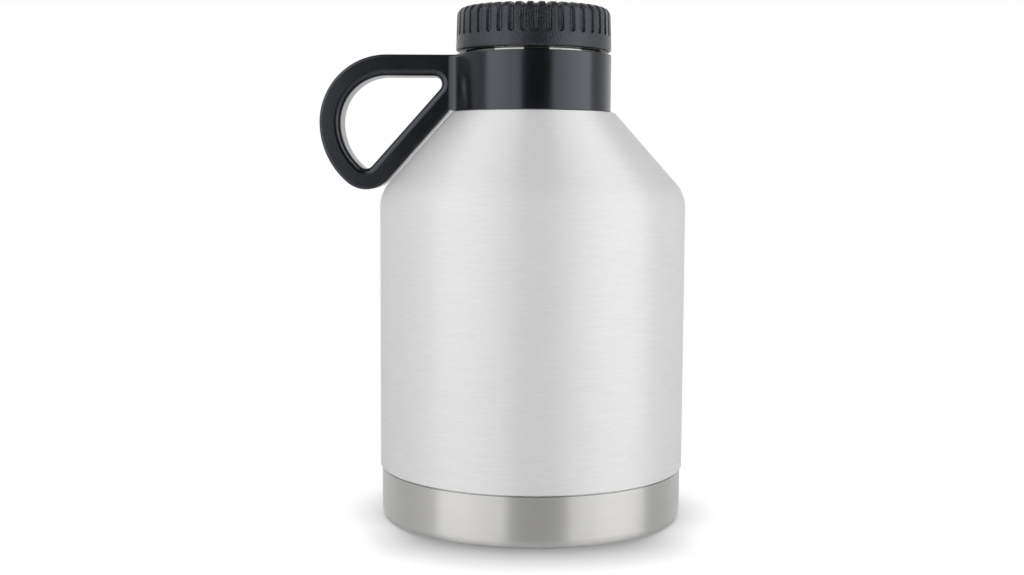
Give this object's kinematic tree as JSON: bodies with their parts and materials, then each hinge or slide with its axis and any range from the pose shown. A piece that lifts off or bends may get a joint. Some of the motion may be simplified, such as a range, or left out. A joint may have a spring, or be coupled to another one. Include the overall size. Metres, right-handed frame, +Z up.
{
  "type": "growler",
  "caption": "Insulated double-walled steel growler with a fluted screw cap, a collar and a D-shaped carrying loop.",
  "frame": {"origin": "on the vessel's axis, in the plane that the foot stands on", "axes": "+Z up along the vessel's axis, the carrying loop points along -X"},
  "size_m": [0.161, 0.135, 0.2243],
  "materials": {
    "coated_shell": "satin",
    "brushed_steel": "brushed",
    "inner_steel": "satin",
    "machined_steel": "polished",
    "strip_steel": "satin",
    "spring_steel": "satin",
    "foil": "satin",
    "getter": "rough",
    "braze": "satin",
    "seal_rubber": "matte",
    "black_handle": "satin",
    "black_cap": "matte",
    "plug_plastic": "matte",
    "foam": "matte"
  },
  "bodies": {
    "vessel": {"outer_shell": "coated_shell", "neck_sleeve": "strip_steel", "base_cup": "brushed_steel", "base_cover": "brushed_steel", "seal_bead": "braze", "getter_holder": "strip_steel", "getter_pill": "getter", "inner_bottom": "inner_steel", "inner_vessel": "inner_steel", "inner_neck": "inner_steel", "foil_wrap": "foil", "neck_finish": "machined_steel", "collar_gasket": "seal_rubber", "anti_turn_lugs": "strip_steel", "retaining_ring": "spring_steel", "handle": "black_handle"},
    "seal_ring": {"cap_gasket": "seal_rubber"},
    "cap": {"cap_shell": "black_cap", "cap_plug": "plug_plastic", "cap_insulation": "foam"}
  },
  "joints": [
    {"name": "cap_lift", "type": "slide", "parent": "vessel", "child": "seal_ring", "axis": [0, 0, 1], "range_m": [0, 0.0321]},
    {"name": "cap_turn", "type": "hinge", "parent": "seal_ring", "child": "cap", "pos_m": [0, 0, 0.2217], "axis": [0, 0, 1], "range_deg": [0, 1440]}
  ],
  "couplings": [
    {"joint": "cap_lift", "follows": "cap_turn", "m_per_rad": 0.0012732}
  ]
}
